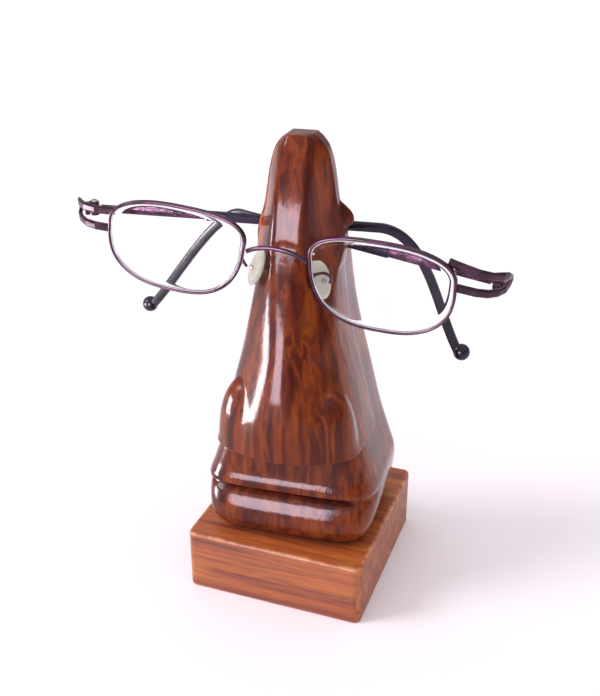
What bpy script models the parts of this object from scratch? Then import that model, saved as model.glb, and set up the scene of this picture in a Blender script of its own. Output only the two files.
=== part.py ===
"""Carved nose spectacle stand with a pair of spectacles resting on it.

The stand is two pieces of hardwood held by two countersunk screws: a square base
and a carved nose.  The spectacles sit on the nose by their pads, with the temples
folded behind the forehead, above a ledge cut across the back.  +Z is up, -Y is the
front, and the origin is the centre of the base's underside.  Lengths are in metres;
the carving's stations are in millimetres.
"""
import math

import bmesh
import bpy
from mathutils import Euler, Matrix, Vector

MM = 0.001

# Base block
BASE_X, BASE_Y, BASE_Z = 64 * MM, 67 * MM, 22.7 * MM
BASE_CORNER = 2.6 * MM
BASE_EDGE = 0.8 * MM

# Fixing screws, driven up through the base into the nose
SCREW_Y = (-11 * MM, 11 * MM)
SCREW_SHANK = 1.7 * MM
SCREW_HEAD = 3.7 * MM
SCREW_HEAD_DEPTH = 3.2 * MM
SCREW_LENGTH = 36 * MM
SCREW_RECESS = 1.2 * MM
FIT_GAP = 0.3 * MM

# Carved nose
NOSE_YAW = math.radians(4.7)
NOSE_BOTTOM = BASE_Z + FIT_GAP
NOSE_TOP = 160.4 * MM
SECTION_CENTRE_Y = -4 * MM
NOSE_COLUMNS = 60

# Spectacles: where the middle of the front sits on the nose, and how it leans
FRONT_PLACE = Vector((-0.5, -24.85, 123.8)) * MM
FRONT_PITCH, FRONT_ROLL, FRONT_YAW = (math.radians(a) for a in (6.15, 5.44, 4.72))
LENS_SPACING = 32.8 * MM
# The rim's middle line: half width, height above and below, squareness, and how it leans
LENS_HALF, LENS_ABOVE, LENS_BELOW, LENS_SQUARE = 22.05, 9.7, 19.6, 2.57
LENS_MIDDLE_Z, LENS_SHEAR, LENS_DRIFT, LENS_TILT = 4.35, 3.6, 1.15, 1.4
RIM_WIDTH, RIM_DEPTH, RIM_GROOVE = 1.1 * MM, 1.9 * MM, 0.4 * MM
LENS_THICKNESS = 1.5 * MM
BRIDGE_REACH, BRIDGE_Z = 9.55 * MM, 3.2 * MM
# Lug straps as (out, back, up) points: behind the rim, back to the hinge, round and under again
LUG_LEFT = ((53.6, 1.9, 7.6), (57.0, 1.9, 7.3), (61.0, 1.9, 7.0), (65.0, 2.9, 6.8), (67.9, 5.4, 6.6),
            (69.1, 7.4, 6.0), (69.7, 9.5, 4.7), (69.7, 9.8, 3.9), (69.5, 8.9, 2.7), (68.85, 6.9, 1.9),
            (67.2, 4.7, 1.5), (64.5, 2.7, 1.35), (61.0, 1.9, 1.3), (57.5, 1.9, 1.3), (54.8, 1.9, 1.4))
LUG_RIGHT = ((51.6, 1.9, 11.0), (56.0, 1.9, 10.0), (61.0, 1.9, 9.0), (65.0, 2.9, 8.3), (67.9, 5.4, 7.8),
             (69.1, 7.4, 7.1), (69.7, 9.5, 5.8), (69.7, 9.8, 5.0), (69.5, 8.9, 3.8), (68.85, 6.9, 2.9),
             (67.2, 4.7, 2.6), (64.5, 2.7, 2.6), (61.0, 1.9, 2.7), (57.5, 1.9, 2.9), (54.6, 1.9, 3.1))
LUG_HEIGHT, LUG_THICK = 2.7 * MM, 1.3 * MM
PAD_LEFT_X, PAD_RIGHT_X, PAD_Y, PAD_Z, PAD_THICK = 8.4, 12.9, 7.2, -5.8, 2.2 * MM

# Temple hinges, and the temples as they lie folded above the ledge
HINGE_X, HINGE_Y, HINGE_Z = 66.6 * MM, 12.4 * MM, 2.0 * MM
HINGE_BORE, HINGE_PIN, KNUCKLE = 0.95 * MM, 0.6 * MM, 1.7 * MM
KNUCKLE_HEIGHTS = (-2.1 * MM, -0.95 * MM, 0.95 * MM, 2.1 * MM)
KNUCKLE_MIDDLE = 0.62 * MM
LEAF_TAIL = 3.0 * MM
HINGE_CLEAR = 2.4 * MM
BAR_WIDTH, BAR_HEIGHT = 1.4 * MM, 2.6 * MM
SLEEVE_WIDTH, SLEEVE_HEIGHT = 2.1 * MM, 3.4 * MM
BALL_RADIUS, BALL_DROP, BALL_OFFSET = 3.2 * MM, 0.4 * MM, 1.2 * MM
ARM_FOLD_LEFT, ARM_FOLD_RIGHT = math.radians(15.6), math.radians(17.2)
ARM_DIP_LEFT, ARM_DIP_RIGHT = math.radians(0.7), math.radians(3.9)
# Where each temple's ear bend starts and ends along and below the arm, and the bend's two handles
EAR_LEFT = (94.1, 128.4, -46.3, 17.2, -10.1, 16.0)
EAR_RIGHT = (96.3, 140.6, -48.6, 10.8, -9.8, 10.0)
SLEEVE_STARTS = 3


def clear_scene():
    for old in list(bpy.data.objects):
        bpy.data.objects.remove(old, do_unlink=True)


def finish(name, colour, roughness, metallic=0.0):
    material = bpy.data.materials.new(name)
    material.use_nodes = True
    shader = material.node_tree.nodes["Principled BSDF"]
    shader.inputs["Base Color"].default_value = (*colour, 1.0)
    shader.inputs["Roughness"].default_value = roughness
    shader.inputs["Metallic"].default_value = metallic
    material.diffuse_color = (*colour, 1.0)
    return material


def frame(name, place, turn=(0.0, 0.0, 0.0), parent=None):
    empty = bpy.data.objects.new(name, None)
    empty.location = place
    empty.rotation_euler = turn
    empty.parent = parent
    bpy.context.collection.objects.link(empty)
    return empty


def piece(name, bm, material, parent=None, smooth_angle=35):
    bmesh.ops.remove_doubles(bm, verts=bm.verts, dist=1e-7)
    bmesh.ops.recalc_face_normals(bm, faces=bm.faces)
    mesh = bpy.data.meshes.new(name)
    bm.to_mesh(mesh)
    bm.free()
    mesh.shade_smooth()
    mesh.set_sharp_from_angle(angle=math.radians(smooth_angle))
    mesh.materials.append(material)
    obj = bpy.data.objects.new(name, mesh)
    obj.parent = parent
    bpy.context.collection.objects.link(obj)
    return obj


def cut(obj, cutter, operation="DIFFERENCE"):
    """Boolean one object with another, which is hidden and kept as a guide."""
    modifier = obj.modifiers.new(operation.lower(), "BOOLEAN")
    modifier.operation = operation
    modifier.solver = "EXACT"
    modifier.object = cutter
    cutter.hide_render = True
    cutter.display_type = "WIRE"


def skin_rings(bm, rings, closed=False):
    """Join rings of points into a tube; cap the ends unless the tube closes on itself."""
    loops = [[bm.verts.new(p) for p in ring] for ring in rings]
    count = len(loops[0])
    last = len(loops) if closed else len(loops) - 1
    for i in range(last):
        here, there = loops[i], loops[(i + 1) % len(loops)]
        for j in range(count):
            k = (j + 1) % count
            bm.faces.new((here[j], here[k], there[k], there[j]))
    if not closed:
        bm.faces.new(loops[0][::-1])
        bm.faces.new(loops[-1])
    return bm


def ring_about(centre, across, up, outline):
    return [centre + across * a + up * b for a, b in outline]


def oval(width, height, count=10, power=2.0):
    """Outline of a rounded bar: an ellipse, squarer for a higher power."""
    points = []
    for i in range(count):
        angle = 2 * math.pi * (i + 0.5) / count
        c, s = math.cos(angle), math.sin(angle)
        points.append((width / 2 * math.copysign(abs(c) ** (2 / power), c),
                       height / 2 * math.copysign(abs(s) ** (2 / power), s)))
    return points


def sweep(points, outline, up=Vector((0, 0, 1))):
    """Sweep an outline along a path, keeping its second axis as close to up as it can."""
    rings = []
    for i, point in enumerate(points):
        before, after = points[max(i - 1, 0)], points[min(i + 1, len(points) - 1)]
        along = (after - before).normalized()
        across = along.cross(up).normalized()
        upward = across.cross(along)
        rings.append(ring_about(point, across, upward, outline))
    return skin_rings(bmesh.new(), rings)


def bezier(a, b, c, d, count):
    """Points along a cubic curve with end points a, d and handles b, c."""
    points = []
    for i in range(count + 1):
        t = i / count
        s = 1 - t
        points.append(a * s ** 3 + b * 3 * s * s * t + c * 3 * s * t * t + d * t ** 3)
    return points


def turned(profile, count=24):
    """A solid turned about Z from (radius, height) points; a first and last radius of 0 closes it."""
    bm = bmesh.new()
    rows = []
    for radius, height in profile:
        if radius == 0:
            rows.append([bm.verts.new((0, 0, height))])
        else:
            rows.append([bm.verts.new((radius * math.cos(2 * math.pi * j / count),
                                       radius * math.sin(2 * math.pi * j / count), height))
                         for j in range(count)])
    for low, high in zip(rows, rows[1:]):
        for j in range(count):
            k = (j + 1) % count
            if len(low) == 1:
                bm.faces.new((low[0], high[k], high[j]))
            elif len(high) == 1:
                bm.faces.new((low[j], low[k], high[0]))
            else:
                bm.faces.new((low[j], low[k], high[k], high[j]))
    return bm


def box_mesh(low, high):
    bm = bmesh.new()
    bmesh.ops.create_cube(bm, size=1.0)
    size = Vector(high) - Vector(low)
    middle = (Vector(high) + Vector(low)) / 2
    bmesh.ops.scale(bm, vec=size, verts=bm.verts)
    bmesh.ops.translate(bm, vec=middle, verts=bm.verts)
    return bm


def blend(stations, z):
    """Read a value at height z from (height, value) stations along a smooth curve."""
    if z <= stations[0][0]:
        return stations[0][1]
    for i in range(len(stations) - 1):
        (z0, v0), (z1, v1) = stations[i], stations[i + 1]
        if z <= z1:
            zb, vb = stations[max(i - 1, 0)]
            za, va = stations[min(i + 2, len(stations) - 1)]
            m0 = (v1 - vb) / (z1 - zb) * (z1 - z0)
            m1 = (va - v0) / (za - z0) * (z1 - z0)
            t = (z - z0) / (z1 - z0)
            return ((2 * t ** 3 - 3 * t ** 2 + 1) * v0 + (t ** 3 - 2 * t ** 2 + t) * m0
                    + (-2 * t ** 3 + 3 * t ** 2) * v1 + (t ** 3 - t ** 2) * m1)
    return stations[-1][1]


# Carving stations, (height, size) in millimetres.
# Lower block, from the lips to the ledge behind the brow: half width, front and back
BLOCK_HALF = ((22, 26.6), (27, 28.6), (34, 30.2), (42, 30.4), (48, 28.6), (60, 24.8), (75, 21.2),
              (90, 17.5), (100, 15.3), (110, 13.8), (117, 13.0), (119.8, 12.2), (121.7, 9.0),
              (122.3, 4.0))
BLOCK_FRONT = ((22, 22.0), (25, 25.2), (29.5, 28.0), (34, 27.2), (38, 25.0), (40.6, 22.8), (43.2, 26.8),
               (48, 25.6), (60, 23.5), (75, 20.0), (90, 17.0), (110, 13.0), (122.3, 9.0))
BLOCK_BACK = ((22, 19.6), (30, 20.6), (45, 20.4), (75, 18.4), (117, 16.2), (119.8, 14.8), (121.7, 9.0),
              (122.3, 3.0))
# Forehead: half width and back
BROW_HALF = ((105, 12.0), (119, 13.6), (128, 14.5), (138, 12.0), (150, 10.0), (156, 8.2),
             (159, 6.0), (160.4, 4.2))
BROW_BACK = ((105, 3.0), (122, 1.4), (128, 0.2), (138, -0.2), (150, -1.6), (157, -3.0), (160.4, -4.5))
# Ridge: how far forward it stands, the half width of its flat, and where its slopes meet the sides
RIDGE_FRONT = ((60, 35.8), (70, 36.4), (80, 35.0), (90, 32.4), (100, 29.0), (110, 24.6), (119, 20.6),
               (128, 17.6), (138, 15.6), (150, 12.6), (157, 10.4), (160.4, 8.2))
RIDGE_HALF = ((60, 9.0), (70, 8.0), (80, 5.5), (90, 4.0), (100, 3.4), (119, 4.4), (128, 5.4),
              (150, 4.8), (160.4, 3.4))
RIDGE_MEETS = ((60, 26.0), (75, 22.0), (90, 19.0), (100, 18.0), (110, 14.5), (119, 9.5),
               (128, 3.6), (150, 4.6), (160.4, 5.5))
RIDGE_LEAN = ((95, 0.0), (119, -1.5), (138, -1.0), (160.4, -0.3))
# Nose wings: centres, sizes and heights of the two swellings beside the tip
WING_X, WING_Y, WING_ACROSS, WING_DEEP = 14.0, -22.5, 9.0, 8.5
WING_MIDDLE, WING_UP, WING_DOWN = 66.0, 17.0, 14.0
UNDERSIDE = 59.6
# A knuckle of wood left standing on the brow's right rear corner, above the folded temples
SHOULDER = ((130.4, 0.0), (131.4, 2.0), (133, 3.0), (135, 2.9), (137, 1.6), (138.8, 0.0))
SHOULDER_ANGLE, SHOULDER_SPREAD = math.radians(15), math.radians(7)
MOUTH_HEIGHT, MOUTH_HALF, MOUTH_DEPTH, MOUTH_CORNER = 41.4, 1.5, 2.4, 0.60


def support(walls, direction, sharpness):
    """Distance along a direction to a rounded polygon given as (normal, distance) walls."""
    total = 0.0
    for (nx, ny), distance in walls:
        facing = nx * direction[0] + ny * direction[1]
        if facing > 0:
            total += (facing / max(distance, 0.2)) ** sharpness
    return total ** (-1 / sharpness)


def block_radius(direction, z):
    half = blend(BLOCK_HALF, z)
    centre = SECTION_CENTRE_Y / MM
    front = blend(BLOCK_FRONT, z) + centre
    back = blend(BLOCK_BACK, z) - centre
    corner = (math.sqrt(0.5), -math.sqrt(0.5))
    cut_corner = (half + front) * math.sqrt(0.5) - 3.0
    walls = [((1, 0), half), ((-1, 0), half), ((0, -1), front), ((0, 1), back),
             (corner, cut_corner), ((-corner[0], corner[1]), cut_corner)]
    return support(walls, direction, 12)


def brow_radius(direction, z):
    centre = SECTION_CENTRE_Y / MM
    half = blend(BROW_HALF, z)
    back = blend(BROW_BACK, z) - centre
    front = max(blend(RIDGE_MEETS, z) + centre, 1.0)
    return support([((1, 0), half), ((-1, 0), half), ((0, 1), back), ((0, -1), front)], direction, 10)


def ridge_radius(direction, z):
    """The wedge of the nose: a narrow flat in front and a slope on each side."""
    if z < UNDERSIDE:
        return 0.0
    centre = SECTION_CENTRE_Y / MM
    front = blend(RIDGE_FRONT, z)
    flat = blend(RIDGE_HALF, z)
    meets = blend(RIDGE_MEETS, z)
    half = blend(BLOCK_HALF, z) if z < BROW_HALF[1][0] else blend(BROW_HALF, z)
    run, rise = half - flat, front - meets
    length = math.hypot(run, rise)
    normal = (rise / length, -run / length)
    lean = blend(RIDGE_LEAN, z)
    right = (flat + lean) * normal[0] - (front + centre) * normal[1]
    left = (flat - lean) * normal[0] - (front + centre) * normal[1]
    walls = [((0, -1), front + centre), (normal, right), ((-normal[0], normal[1]), left),
             ((1, 0), half), ((-1, 0), half), ((0, 1), 1.0 + max(0.0, -centre))]
    return support(walls, direction, 14)


def wing_radius(direction, z, side):
    """Far side of the swelling beside the tip, seen from the middle of the section."""
    if z < UNDERSIDE - 1.0:
        return 0.0
    rise = (z - WING_MIDDLE) / (WING_UP if z > WING_MIDDLE else WING_DOWN)
    if abs(rise) >= 1:
        return 0.0
    swell = math.sqrt(1 - rise * rise)
    a, b = WING_ACROSS * swell, WING_DEEP * swell
    cx, cy = side * WING_X, WING_Y - SECTION_CENTRE_Y / MM
    dx, dy = direction
    qa = (dx / a) ** 2 + (dy / b) ** 2
    qb = -2 * (dx * cx / a ** 2 + dy * cy / b ** 2)
    qc = (cx / a) ** 2 + (cy / b) ** 2 - 1
    disc = qb * qb - 4 * qa * qc
    return max(0.0, (-qb + math.sqrt(disc)) / (2 * qa)) if disc > 0 else 0.0


def nose_radius(angle, z):
    """Radius of the carving at an angle about the section's centre, all in millimetres."""
    direction = (math.cos(angle), math.sin(angle))
    radii = [wing_radius(direction, z, 1), wing_radius(direction, z, -1), ridge_radius(direction, z)]
    if z < BLOCK_HALF[-1][0]:
        radii.append(block_radius(direction, z))
    if z > BROW_HALF[0][0]:
        radii.append(brow_radius(direction, z))
    together = 26
    radius = sum(r ** together for r in radii) ** (1 / together)
    groove = max(0.0, 1 - abs(z - MOUTH_HEIGHT) / MOUTH_HALF)
    facing = min(1.0, max(0.0, -direction[1] - MOUTH_CORNER) * 8)
    radius -= MOUTH_DEPTH * min(1.0, 2 * groove) * facing
    off = math.remainder(angle - SHOULDER_ANGLE, 2 * math.pi) / SHOULDER_SPREAD
    return radius + max(0.0, blend(SHOULDER, z)) * math.exp(-off ** 4)


def nose_heights():
    """Heights of the carving's rows, closer together where it steps or curves in."""
    return [NOSE_BOTTOM / MM, 24.5, 27, 30, 34, 38, 40.0, 41.0, 42.2, 43.2, 46, 50, 55, 58.4, 59.5,
            59.9, 62, 66, 70, 75, 80, 85, 90, 95, 100, 105, 110, 114, 117, 119, 120.6, 121.6,
            122.2, 123.5, 126, 129, 130.4, 131.6, 133, 135, 137, 139, 142, 146, 150, 153, 156, 158, 159.4,
            NOSE_TOP / MM]


def nose_mesh():
    rings = []
    for z in nose_heights():
        ring = []
        for j in range(NOSE_COLUMNS):
            angle = 2 * math.pi * (j + 0.5) / NOSE_COLUMNS
            r = nose_radius(angle, z) * MM
            ring.append(Vector((r * math.cos(angle), r * math.sin(angle) + SECTION_CENTRE_Y, z * MM)))
        rings.append(ring)
    return skin_rings(bmesh.new(), rings)


def build_stand(wood_dark, wood_light, steel):
    base = piece("base_block", box_mesh((-BASE_X / 2, -BASE_Y / 2, 0), (BASE_X / 2, BASE_Y / 2, BASE_Z)),
                 wood_light)
    for face in base.data.polygons:
        face.use_smooth = False
    upright = base.modifiers.new("upright corners", "BEVEL")
    upright.width = BASE_CORNER
    upright.segments = 4
    upright.limit_method = "WEIGHT"
    weights = base.data.attributes.new("bevel_weight_edge", "FLOAT", "EDGE")
    for edge in base.data.edges:
        a, b = (base.data.vertices[i].co for i in edge.vertices)
        weights.data[edge.index].value = 1.0 if abs(a.z - b.z) > BASE_Z / 2 else 0.0
    arris = base.modifiers.new("arrises", "BEVEL")
    arris.width = BASE_EDGE
    arris.segments = 2
    arris.limit_method = "ANGLE"
    arris.angle_limit = math.radians(60)

    nose_frame = frame("nose_frame", (0, 0, 0), (0, 0, NOSE_YAW))
    nose = piece("nose_carving", nose_mesh(), wood_dark, nose_frame, smooth_angle=40)

    shank_top = SCREW_RECESS + SCREW_LENGTH
    for name, y in zip(("front", "rear"), SCREW_Y):
        head_low = SCREW_RECESS
        neck = head_low + SCREW_HEAD_DEPTH
        socket = 1.1 * MM
        screw = piece(f"fixing_screw_{name}", turned((
            (0, head_low + socket), (socket, head_low + socket), (socket * 1.3, head_low),
            (SCREW_HEAD, head_low), (SCREW_HEAD, head_low + 0.5 * MM), (SCREW_SHANK, neck),
            (SCREW_SHANK, shank_top - 4 * MM), (0, shank_top)), 20), steel)
        screw.location = (0, y, 0)
        seat = piece(f"seat_cutter_{name}", turned((
            (0, -1 * MM), (SCREW_HEAD + FIT_GAP, -1 * MM),
            (SCREW_HEAD + FIT_GAP, head_low + 0.8 * MM), (SCREW_SHANK + FIT_GAP, neck + FIT_GAP),
            (SCREW_SHANK + FIT_GAP, shank_top - 3.8 * MM), (0, shank_top + 1.2 * MM)), 20), steel)
        seat.location = (0, y, 0)
        cut(base, seat)
        cut(nose, seat)


def lens_outline(grow=0.0, count=72):
    """Edge of a lens about the middle of the pair's right-hand eye, as (outward, up) points.

    It is a soft oval, flat above and deep below, that leans in towards the nose at the top.
    """
    middle = []
    for i in range(count):
        angle = 2 * math.pi * i / count
        c, s = math.cos(angle), math.sin(angle)
        high = LENS_ABOVE if s > 0 else LENS_BELOW
        x = LENS_HALF * math.copysign(abs(c) ** (2 / LENS_SQUARE), c) - LENS_SHEAR * s - LENS_DRIFT * s * s
        z = high * math.copysign(abs(s) ** (2 / LENS_SQUARE), s) + LENS_MIDDLE_Z + LENS_TILT * c
        middle.append((x, z))
    points = []
    for i, (x, z) in enumerate(middle):
        (xa, za), (xb, zb) = middle[i - 1], middle[(i + 1) % count]
        length = math.hypot(xb - xa, zb - za)
        offset = grow - RIM_WIDTH / MM / 2
        points.append(((x + offset * (zb - za) / length) * MM, (z - offset * (xb - xa) / length) * MM))
    return points


def rim_mesh(side):
    """A thin full rim with a groove round its inside for the lens's bevel."""
    half = RIM_DEPTH / 2
    section = ((0.0, -half), (RIM_WIDTH, -half * 0.8), (RIM_WIDTH * 1.05, half * 0.8), (0.0, half),
               (0.0, half * 0.55), (RIM_GROOVE, 0.0), (0.0, -half * 0.55))
    inner = lens_outline()
    rings = []
    count = len(inner)
    for i, (x, z) in enumerate(inner):
        (xa, za), (xb, zb) = inner[i - 1], inner[(i + 1) % count]
        out = Vector((zb - za, 0, xa - xb)).normalized()
        centre = Vector((LENS_SPACING + x, 0, z))
        ring = [centre + out * u + Vector((0, v, 0)) for u, v in section]
        rings.append([Vector((side * p.x, p.y, p.z)) for p in ring])
    return skin_rings(bmesh.new(), rings, closed=True)


def lens_mesh(side):
    """Lens blank: two flat faces and a bevel that reaches into the rim's groove."""
    half = LENS_THICKNESS / 2
    rings = []
    for grow, y in ((-0.35, -half), (-0.3, -half * 0.6), (0.12, 0.0), (-0.3, half * 0.6), (-0.35, half)):
        rings.append([Vector((side * (LENS_SPACING + x), y, z)) for x, z in lens_outline(grow)])
    return skin_rings(bmesh.new(), rings)


def build_front(metal, glass, pad_metal, pad_plastic, front):
    """Everything on the spectacles' front except the temples."""
    for side, name in ((-1, "left"), (1, "right")):
        piece(f"{name}_rim", rim_mesh(side), metal, front)
        piece(f"{name}_lens", lens_mesh(side), glass, front)
        build_pad(side, name, metal, pad_metal, pad_plastic, front)
        build_end_piece(side, name, metal, pad_metal, front)

    left, right = (Vector((end * BRIDGE_REACH, 0.0, BRIDGE_Z)) for end in (-1, 1))
    handle = Vector((5.0, -0.4, 3.6)) * MM
    arch = bezier(left, left + handle, right + Vector((-handle.x, handle.y, handle.z)), right, 16)
    piece("bridge", sweep(arch, oval(1.7 * MM, 1.5 * MM, 10)), metal, front)


def build_pad(side, name, metal, pad_metal, pad_plastic, front):
    """Nose pad, its wire arm and the screw that holds the pad to the arm."""
    pad_x = PAD_LEFT_X if side < 0 else PAD_RIGHT_X
    pad_frame = frame(f"{name}_pad_frame", Vector((side * pad_x, PAD_Y, PAD_Z)) * MM,
                      (math.radians(8), math.radians(-side * 15), math.radians(-side * 40)), front)
    rings = []
    for i in range(7):
        a = math.pi * i / 6
        swell = 0.62 + 0.38 * math.sin(a)
        ring = []
        for j in range(20):
            b = 2 * math.pi * j / 20
            ring.append(Vector((-side * PAD_THICK / 2 * math.cos(a), 3.5 * MM * swell * math.cos(b),
                                6.6 * MM * swell * math.sin(b))))
        rings.append(ring)
    piece(f"{name}_nose_pad", skin_rings(bmesh.new(), rings), pad_plastic, pad_frame)

    low = PAD_THICK / 2 + FIT_GAP
    screw = piece(f"{name}_pad_screw", turned(((0, low), (0.75 * MM, low), (0.75 * MM, low + 0.7 * MM),
                                               (0.45 * MM, low + 1.0 * MM), (0, low + 1.1 * MM)), 12),
                  pad_metal, pad_frame)
    screw.rotation_euler = (0, side * math.pi / 2, 0)

    start = Vector((side * 11.9, 1.8, -2.6)) * MM
    end = Vector((side * (pad_x + 2.1), PAD_Y - 0.9, PAD_Z - 0.2)) * MM
    loop = bezier(start, start + Vector((side * 0.9, 3.4, 2.6)) * MM,
                  end + Vector((side * 3.0, 0.6, 2.4)) * MM, end + Vector((side * 0.9, 0.2, 0.3)) * MM, 12)
    piece(f"{name}_pad_arm", sweep(loop, oval(1.0 * MM, 1.0 * MM, 8), up=Vector((side, 0, 0.3))),
          metal, front)


def knuckle_mesh(low, high, tail, tail_half, direction, count=36):
    """A hinge barrel with a flat tail: one outline round the bore, extruded between two heights."""
    outer, inner = [], []
    edge = math.asin(min(1.0, tail_half / KNUCKLE))
    corner = math.atan2(tail_half, tail)
    angles = sorted([2 * math.pi * j / count for j in range(count)] + [corner, -corner + 2 * math.pi,
                                                                     edge, 2 * math.pi - edge])
    for a in angles:
        c, s = math.cos(a), math.sin(a)
        reach = min(tail / c, tail_half / max(abs(s), 1e-6)) if c > 0 else 0.0
        outer.append((max(KNUCKLE, reach), a + direction))
        inner.append((HINGE_BORE, a + direction))
    bm = bmesh.new()
    loops = []
    for outline, z in ((inner, low), (outer, low), (outer, high), (inner, high)):
        loops.append([bm.verts.new((r * math.cos(a), r * math.sin(a), z)) for r, a in outline])
    for i in range(4):
        here, there = loops[i], loops[(i + 1) % 4]
        for j in range(len(angles)):
            k = (j + 1) % len(angles)
            bm.faces.new((here[j], here[k], there[k], there[j]))
    return bm


def build_end_piece(side, name, metal, pad_metal, front):
    """Looped lug from the rim to the hinge, the hinge's front leaf and the hinge screw."""
    path = [Vector((side * x, y, z)) * MM for x, y, z in (LUG_LEFT if side < 0 else LUG_RIGHT)]
    outward = Vector((side * 0.75, -0.66, 0))
    piece(f"{name}_end_piece", sweep(path, oval(LUG_HEIGHT, LUG_THICK, 8, 3.0), up=outward), metal, front)

    hinge = frame(f"{name}_hinge_frame", Vector((side * HINGE_X, HINGE_Y, HINGE_Z)), (0, 0, 0), front)
    direction = math.radians(-35) if side > 0 else math.radians(215)
    leaf = piece(f"{name}_hinge_leaf", knuckle_mesh(KNUCKLE_HEIGHTS[0], KNUCKLE_HEIGHTS[1], LEAF_TAIL,
                                                    0.7 * MM, direction), metal, hinge)
    upper = piece(f"{name}_upper_knuckle", knuckle_mesh(KNUCKLE_HEIGHTS[2], KNUCKLE_HEIGHTS[3], LEAF_TAIL,
                                                        0.7 * MM, direction), metal, hinge)
    web = piece(f"{name}_leaf_web", box_mesh((KNUCKLE + 0.35 * MM, -0.6 * MM, KNUCKLE_HEIGHTS[0] + 0.1 * MM),
                                             (LEAF_TAIL - 0.05 * MM, 0.6 * MM, KNUCKLE_HEIGHTS[3] - 0.1 * MM)),
                metal, hinge)
    web.rotation_euler = (0, 0, direction)
    cut(leaf, web, "UNION")
    cut(leaf, upper, "UNION")

    low, high = KNUCKLE_HEIGHTS[0], KNUCKLE_HEIGHTS[3]
    piece(f"{name}_hinge_screw", turned((
        (0, low - 0.2 * MM), (HINGE_PIN, low - 0.2 * MM), (HINGE_PIN, high + FIT_GAP),
        (1.25 * MM, high + FIT_GAP), (1.1 * MM, high + 0.6 * MM), (0, high + 0.7 * MM)), 14),
        pad_metal, hinge)


def arm_curve(side):
    """Centre line of a temple in its own frame: X along the arm, Z up the hinge."""
    bend, tip_x, tip_z, lead, end_x, end_z = (v * MM for v in (EAR_LEFT if side < 0 else EAR_RIGHT))
    straight = [Vector((HINGE_CLEAR + (bend - HINGE_CLEAR) * i / 8, 0, 0)) for i in range(9)]
    end = Vector((tip_x, 0, tip_z))
    curve = bezier(straight[-1], straight[-1] + Vector((lead, 0, 0)), end + Vector((end_x, 0, end_z)), end, 18)
    return straight, curve[1:]


def build_temple(side, name, metal, black, front):
    """A temple: metal bar with the middle hinge barrel, and a black sleeve ending in a ball."""
    fold = ARM_FOLD_LEFT if side < 0 else math.pi - ARM_FOLD_RIGHT
    dip = ARM_DIP_LEFT if side < 0 else ARM_DIP_RIGHT
    pivot = frame(f"{name}_temple_pivot", Vector((side * HINGE_X, HINGE_Y, HINGE_Z)), (0, 0, 0), front)
    arm = frame(f"{name}_temple_arm", (0, 0, 0), (0, dip, fold), pivot)

    straight, curve = arm_curve(side)
    bar = piece(f"{name}_temple_bar", sweep(straight[:SLEEVE_STARTS + 1], oval(BAR_WIDTH, BAR_HEIGHT, 10, 3.2)),
                metal, arm)
    leaf = piece(f"{name}_temple_knuckle", knuckle_mesh(-KNUCKLE_MIDDLE, KNUCKLE_MIDDLE,
                                                        HINGE_CLEAR + 3 * MM, 0.6 * MM, fold), metal, pivot)
    cut(bar, leaf, "UNION")

    outline = oval(SLEEVE_WIDTH, SLEEVE_HEIGHT, 10, 2.6)
    path = [straight[SLEEVE_STARTS] + Vector((FIT_GAP, 0, 0))] + straight[SLEEVE_STARTS + 1:] + curve
    sleeve = piece(f"{name}_temple_sleeve", sweep(path, outline), black, arm)
    down = (path[-1] - path[-2]).normalized()
    ball = bmesh.new()
    bmesh.ops.create_icosphere(ball, subdivisions=2, radius=BALL_RADIUS)
    bmesh.ops.translate(ball, vec=path[-1] + down * BALL_DROP + Vector((BALL_OFFSET, 0, 0)), verts=ball.verts)
    cut(sleeve, piece(f"{name}_ball_guide", ball, black, arm), "UNION")


def main():
    clear_scene()
    wood_dark = finish("lacquered rosewood", (0.22, 0.045, 0.014), 0.22)
    wood_light = finish("satin hardwood", (0.40, 0.12, 0.045), 0.42)
    steel = finish("zinc plated steel", (0.62, 0.62, 0.60), 0.35, 1.0)
    metal = finish("dark plum enamelled wire", (0.09, 0.028, 0.040), 0.28, 0.9)
    pad_metal = finish("nickel silver", (0.55, 0.52, 0.48), 0.3, 1.0)
    glass = finish("clear lens", (0.93, 0.95, 0.96), 0.03)
    pad_plastic = finish("clear silicone", (0.78, 0.80, 0.74), 0.25)
    black = finish("black acetate sleeve", (0.012, 0.010, 0.016), 0.3)

    build_stand(wood_dark, wood_light, steel)
    front = frame("spectacle_front", FRONT_PLACE, (FRONT_PITCH, FRONT_ROLL, FRONT_YAW))
    build_front(metal, glass, pad_metal, pad_plastic, front)
    for side, name in ((-1, "left"), (1, "right")):
        build_temple(side, name, metal, black, front)


main()
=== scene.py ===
# %% [markdown]
# # A carved nose spectacle stand, wearing a pair of wire spectacles
#
# The stand is two blocks of Indian rosewood: a plain square base and a carved nose with
# lips below it.  A pair of oval wire spectacles sits on the nose with its temples folded
# behind.  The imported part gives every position; this script gives it its surfaces.
# Sizes are in millimetres where a name says so, and in metres everywhere else.

import math

import bmesh
import bpy
import numpy as np
from mathutils import Euler, Matrix, Vector


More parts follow.
